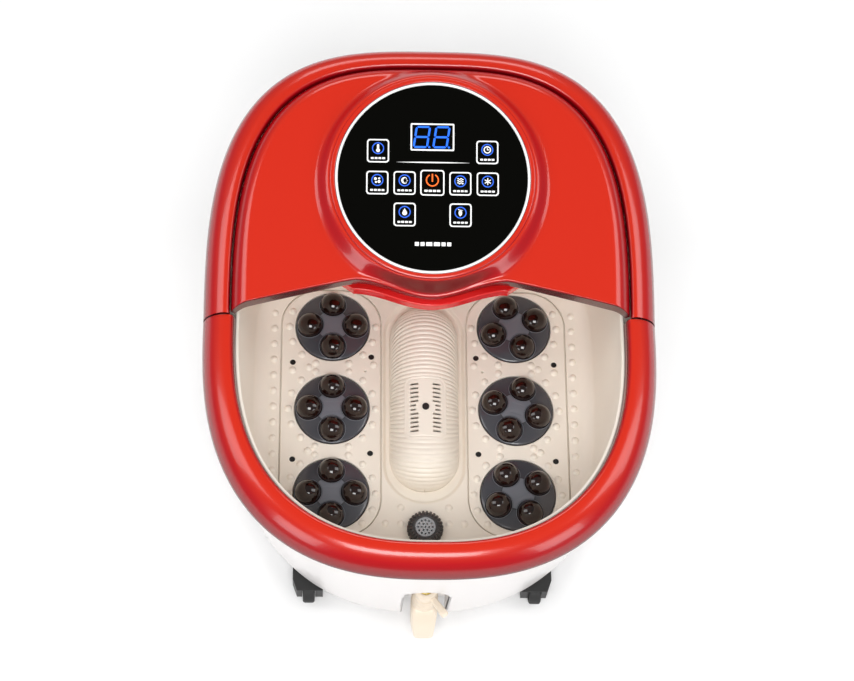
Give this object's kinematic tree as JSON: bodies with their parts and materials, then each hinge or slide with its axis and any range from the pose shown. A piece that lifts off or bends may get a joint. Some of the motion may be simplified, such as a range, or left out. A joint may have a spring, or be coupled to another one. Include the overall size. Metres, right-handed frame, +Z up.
{
  "type": "foot spa basin",
  "caption": "Oval foot spa basin on casters: red rim and rear deck with a round tilted touch panel, beige tub with roller discs under both feet, drain tap in front.",
  "frame": {"origin": "on the ground under the middle of the basin's box, midway between left and right", "axes": "+X to the right, +Y to the back where the control panel is, +Z up; the drain tap faces -Y"},
  "size_m": [0.4, 0.475, 0.3033],
  "materials": {
    "red_gloss": "high gloss",
    "white_plastic": "gloss",
    "beige_plastic": "semi gloss",
    "black_glass": "polished, printed black from behind",
    "white_ring": "gloss",
    "black_screws": "satin",
    "panel_print": "printed behind the glass",
    "circuit_board": "solder mask",
    "dark_plastic": "satin",
    "cream_plastic": "semi gloss",
    "yellow_cap": "satin",
    "hose": "satin",
    "black_plastic": "matte",
    "steel": "brushed",
    "motor_metal": "satin",
    "black_rubber": "matte",
    "disc_plastic": "gloss",
    "roller_plastic": "high gloss",
    "wheel_rubber": "satin"
  },
  "bodies": {
    "basin": {"outer_shell": "white_plastic", "base_plate": "white_plastic", "inner_basin": "beige_plastic", "front_rim": "red_gloss", "rear_rim": "red_gloss", "rear_cover": "red_gloss", "pod_underside": "red_gloss", "panel_glass": "black_glass", "panel_ring": "white_ring", "control_board": "circuit_board", "left_foot_plate": "beige_plastic", "right_foot_plate": "beige_plastic", "hump_cover": "beige_plastic", "drain_strainer": "dark_plastic", "tap_body": "cream_plastic", "drain_hose": "hose", "caster_housings": "black_plastic", "wheel_axles": "steel", "gear_motors": "motor_metal", "heater_tube": "steel", "circulation_pump": "black_plastic", "pump_hose": "hose", "screws": "black_screws", "cord_gland": "black_rubber"},
    "left_front_disc": {"left_front_disc": "disc_plastic"},
    "left_front_roller_1": {"left_front_roller_1": "roller_plastic"},
    "left_front_roller_2": {"left_front_roller_2": "roller_plastic"},
    "left_front_roller_3": {"left_front_roller_3": "roller_plastic"},
    "left_front_roller_4": {"left_front_roller_4": "roller_plastic"},
    "left_middle_disc": {"left_middle_disc": "disc_plastic"},
    "left_middle_roller_1": {"left_middle_roller_1": "roller_plastic"},
    "left_middle_roller_2": {"left_middle_roller_2": "roller_plastic"},
    "left_middle_roller_3": {"left_middle_roller_3": "roller_plastic"},
    "left_middle_roller_4": {"left_middle_roller_4": "roller_plastic"},
    "left_rear_disc": {"left_rear_disc": "disc_plastic"},
    "left_rear_roller_1": {"left_rear_roller_1": "roller_plastic"},
    "left_rear_roller_2": {"left_rear_roller_2": "roller_plastic"},
    "left_rear_roller_3": {"left_rear_roller_3": "roller_plastic"},
    "left_rear_roller_4": {"left_rear_roller_4": "roller_plastic"},
    "right_front_disc": {"right_front_disc": "disc_plastic"},
    "right_front_roller_1": {"right_front_roller_1": "roller_plastic"},
    "right_front_roller_2": {"right_front_roller_2": "roller_plastic"},
    "right_front_roller_3": {"right_front_roller_3": "roller_plastic"},
    "right_front_roller_4": {"right_front_roller_4": "roller_plastic"},
    "right_middle_disc": {"right_middle_disc": "disc_plastic"},
    "right_middle_roller_1": {"right_middle_roller_1": "roller_plastic"},
    "right_middle_roller_2": {"right_middle_roller_2": "roller_plastic"},
    "right_middle_roller_3": {"right_middle_roller_3": "roller_plastic"},
    "right_middle_roller_4": {"right_middle_roller_4": "roller_plastic"},
    "right_rear_disc": {"right_rear_disc": "disc_plastic"},
    "right_rear_roller_1": {"right_rear_roller_1": "roller_plastic"},
    "right_rear_roller_2": {"right_rear_roller_2": "roller_plastic"},
    "right_rear_roller_3": {"right_rear_roller_3": "roller_plastic"},
    "right_rear_roller_4": {"right_rear_roller_4": "roller_plastic"},
    "front_left_wheel": {"front_left_wheel": "wheel_rubber"},
    "front_right_wheel": {"front_right_wheel": "wheel_rubber"},
    "rear_left_wheel": {"rear_left_wheel": "wheel_rubber"},
    "rear_right_wheel": {"rear_right_wheel": "wheel_rubber"},
    "tap_handle": {"tap_handle": "cream_plastic", "tap_cap": "yellow_cap"}
  },
  "joints": [
    {"name": "left_front_disc_spin", "type": "hinge", "parent": "basin", "child": "left_front_disc", "pos_m": [-0.0855, -0.117, 0.072], "axis": [0, 0, 1], "continuous": true},
    {"name": "left_front_roller_1_spin", "type": "hinge", "parent": "left_front_disc", "child": "left_front_roller_1", "pos_m": [-0.0645, -0.117, 0.0865], "axis": [1, 0, 0], "continuous": true},
    {"name": "left_front_roller_2_spin", "type": "hinge", "parent": "left_front_disc", "child": "left_front_roller_2", "pos_m": [-0.0855, -0.096, 0.0865], "axis": [0, 1, 0], "continuous": true},
    {"name": "left_front_roller_3_spin", "type": "hinge", "parent": "left_front_disc", "child": "left_front_roller_3", "pos_m": [-0.1065, -0.117, 0.0865], "axis": [-1, 0, 0], "continuous": true},
    {"name": "left_front_roller_4_spin", "type": "hinge", "parent": "left_front_disc", "child": "left_front_roller_4", "pos_m": [-0.0855, -0.138, 0.0865], "axis": [0, -1, 0], "continuous": true},
    {"name": "left_middle_disc_spin", "type": "hinge", "parent": "basin", "child": "left_middle_disc", "pos_m": [-0.0855, -0.0335, 0.072], "axis": [0, 0, 1], "continuous": true},
    {"name": "left_middle_roller_1_spin", "type": "hinge", "parent": "left_middle_disc", "child": "left_middle_roller_1", "pos_m": [-0.0645, -0.0335, 0.0865], "axis": [1, 0, 0], "continuous": true},
    {"name": "left_middle_roller_2_spin", "type": "hinge", "parent": "left_middle_disc", "child": "left_middle_roller_2", "pos_m": [-0.0855, -0.0125, 0.0865], "axis": [0, 1, 0], "continuous": true},
    {"name": "left_middle_roller_3_spin", "type": "hinge", "parent": "left_middle_disc", "child": "left_middle_roller_3", "pos_m": [-0.1065, -0.0335, 0.0865], "axis": [-1, 0, 0], "continuous": true},
    {"name": "left_middle_roller_4_spin", "type": "hinge", "parent": "left_middle_disc", "child": "left_middle_roller_4", "pos_m": [-0.0855, -0.0545, 0.0865], "axis": [0, -1, 0], "continuous": true},
    {"name": "left_rear_disc_spin", "type": "hinge", "parent": "basin", "child": "left_rear_disc", "pos_m": [-0.0855, 0.05, 0.072], "axis": [0, 0, 1], "continuous": true},
    {"name": "left_rear_roller_1_spin", "type": "hinge", "parent": "left_rear_disc", "child": "left_rear_roller_1", "pos_m": [-0.0645, 0.05, 0.0865], "axis": [1, 0, 0], "continuous": true},
    {"name": "left_rear_roller_2_spin", "type": "hinge", "parent": "left_rear_disc", "child": "left_rear_roller_2", "pos_m": [-0.0855, 0.071, 0.0865], "axis": [0, 1, 0], "continuous": true},
    {"name": "left_rear_roller_3_spin", "type": "hinge", "parent": "left_rear_disc", "child": "left_rear_roller_3", "pos_m": [-0.1065, 0.05, 0.0865], "axis": [-1, 0, 0], "continuous": true},
    {"name": "left_rear_roller_4_spin", "type": "hinge", "parent": "left_rear_disc", "child": "left_rear_roller_4", "pos_m": [-0.0855, 0.029, 0.0865], "axis": [0, -1, 0], "continuous": true},
    {"name": "right_front_disc_spin", "type": "hinge", "parent": "basin", "child": "right_front_disc", "pos_m": [0.0855, -0.117, 0.072], "axis": [0, 0, 1], "continuous": true},
    {"name": "right_front_roller_1_spin", "type": "hinge", "parent": "right_front_disc", "child": "right_front_roller_1", "pos_m": [0.10369, -0.1065, 0.0865], "axis": [0.866, 0.5, 0], "continuous": true},
    {"name": "right_front_roller_2_spin", "type": "hinge", "parent": "right_front_disc", "child": "right_front_roller_2", "pos_m": [0.075, -0.09881, 0.0865], "axis": [-0.5, 0.866, 0], "continuous": true},
    {"name": "right_front_roller_3_spin", "type": "hinge", "parent": "right_front_disc", "child": "right_front_roller_3", "pos_m": [0.06731, -0.1275, 0.0865], "axis": [-0.866, -0.5, 0], "continuous": true},
    {"name": "right_front_roller_4_spin", "type": "hinge", "parent": "right_front_disc", "child": "right_front_roller_4", "pos_m": [0.096, -0.13519, 0.0865], "axis": [0.5, -0.866, 0], "continuous": true},
    {"name": "right_middle_disc_spin", "type": "hinge", "parent": "basin", "child": "right_middle_disc", "pos_m": [0.0855, -0.0335, 0.072], "axis": [0, 0, 1], "continuous": true},
    {"name": "right_middle_roller_1_spin", "type": "hinge", "parent": "right_middle_disc", "child": "right_middle_roller_1", "pos_m": [0.10547, -0.03999, 0.0865], "axis": [0.9511, -0.309, 0], "continuous": true},
    {"name": "right_middle_roller_2_spin", "type": "hinge", "parent": "right_middle_disc", "child": "right_middle_roller_2", "pos_m": [0.09199, -0.01353, 0.0865], "axis": [0.309, 0.9511, 0], "continuous": true},
    {"name": "right_middle_roller_3_spin", "type": "hinge", "parent": "right_middle_disc", "child": "right_middle_roller_3", "pos_m": [0.06553, -0.02701, 0.0865], "axis": [-0.9511, 0.309, 0], "continuous": true},
    {"name": "right_middle_roller_4_spin", "type": "hinge", "parent": "right_middle_disc", "child": "right_middle_roller_4", "pos_m": [0.07901, -0.05347, 0.0865], "axis": [-0.309, -0.9511, 0], "continuous": true},
    {"name": "right_rear_disc_spin", "type": "hinge", "parent": "basin", "child": "right_rear_disc", "pos_m": [0.0855, 0.05, 0.072], "axis": [0, 0, 1], "continuous": true},
    {"name": "right_rear_roller_1_spin", "type": "hinge", "parent": "right_rear_disc", "child": "right_rear_roller_1", "pos_m": [0.10511, 0.05753, 0.0865], "axis": [0.9336, 0.3584, 0], "continuous": true},
    {"name": "right_rear_roller_2_spin", "type": "hinge", "parent": "right_rear_disc", "child": "right_rear_roller_2", "pos_m": [0.07797, 0.06961, 0.0865], "axis": [-0.3584, 0.9336, 0], "continuous": true},
    {"name": "right_rear_roller_3_spin", "type": "hinge", "parent": "right_rear_disc", "child": "right_rear_roller_3", "pos_m": [0.06589, 0.04247, 0.0865], "axis": [-0.9336, -0.3584, 0], "continuous": true},
    {"name": "right_rear_roller_4_spin", "type": "hinge", "parent": "right_rear_disc", "child": "right_rear_roller_4", "pos_m": [0.09303, 0.03039, 0.0865], "axis": [0.3584, -0.9336, 0], "continuous": true},
    {"name": "front_left_wheel_spin", "type": "hinge", "parent": "basin", "child": "front_left_wheel", "pos_m": [-0.105, -0.1857, 0.0122], "axis": [1, 0, 0], "continuous": true},
    {"name": "front_right_wheel_spin", "type": "hinge", "parent": "basin", "child": "front_right_wheel", "pos_m": [0.105, -0.1857, 0.0122], "axis": [1, 0, 0], "continuous": true},
    {"name": "rear_left_wheel_spin", "type": "hinge", "parent": "basin", "child": "rear_left_wheel", "pos_m": [-0.105, 0.1975, 0.0122], "axis": [1, 0, 0], "continuous": true},
    {"name": "rear_right_wheel_spin", "type": "hinge", "parent": "basin", "child": "rear_right_wheel", "pos_m": [0.105, 0.1975, 0.0122], "axis": [1, 0, 0], "continuous": true},
    {"name": "tap_handle_turn", "type": "hinge", "parent": "basin", "child": "tap_handle", "pos_m": [0, -0.2095, 0.08], "axis": [0, 0, 1], "range_deg": [-70, 0]}
  ],
  "couplings": [
    {"joint": "left_front_disc_spin", "follows": "left_middle_disc_spin", "ratio": -1},
    {"joint": "left_rear_disc_spin", "follows": "left_middle_disc_spin", "ratio": -1},
    {"joint": "right_front_disc_spin", "follows": "right_middle_disc_spin", "ratio": -1},
    {"joint": "right_rear_disc_spin", "follows": "right_middle_disc_spin", "ratio": -1}
  ]
}
